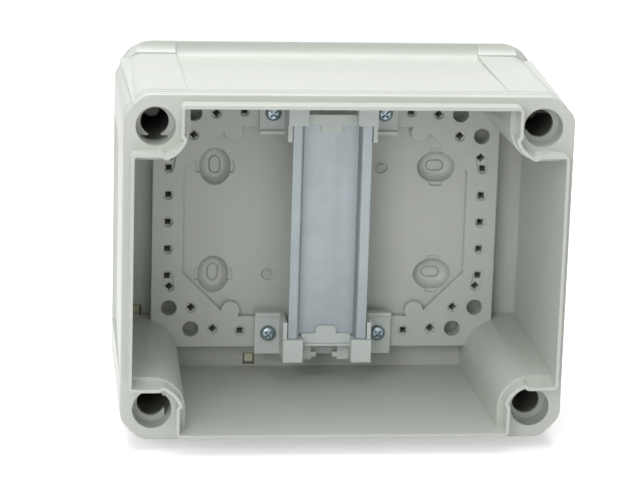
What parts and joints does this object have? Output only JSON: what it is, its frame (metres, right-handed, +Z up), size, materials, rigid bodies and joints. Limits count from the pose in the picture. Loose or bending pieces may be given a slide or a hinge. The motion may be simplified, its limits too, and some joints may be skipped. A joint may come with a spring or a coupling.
{
  "type": "modular device enclosure base with mounting rail",
  "caption": "Rectangular wall-mount enclosure base with an open front, corner lid sockets, a fixing platform and an upright 35 mm top-hat rail on end brackets.",
  "frame": {"origin": "centre of the bounding box's lowest face, under the lower edge of the back flange", "axes": "+X along the width, to the right as seen from the open front; +Y from the open front towards the back; +Z up, along the rail"},
  "size_m": [0.19, 0.1032, 0.1606],
  "materials": {
    "enclosure_plastic": "light grey moulded plastic, semi-gloss",
    "bracket_plastic": "light grey moulded plastic, satin",
    "rail_zinc": "zinc-plated steel strip, satin",
    "screw_zinc": "bright zinc-plated steel"
  },
  "bodies": {
    "root": {"enclosure_base": "enclosure_plastic", "din_rail": "rail_zinc", "rail_bracket_upper": "bracket_plastic", "rail_bracket_lower": "bracket_plastic", "bracket_screw_lower_left": "screw_zinc", "bracket_screw_lower_right": "screw_zinc", "bracket_screw_upper_left": "screw_zinc", "bracket_screw_upper_right": "screw_zinc"}
  },
  "joints": []
}
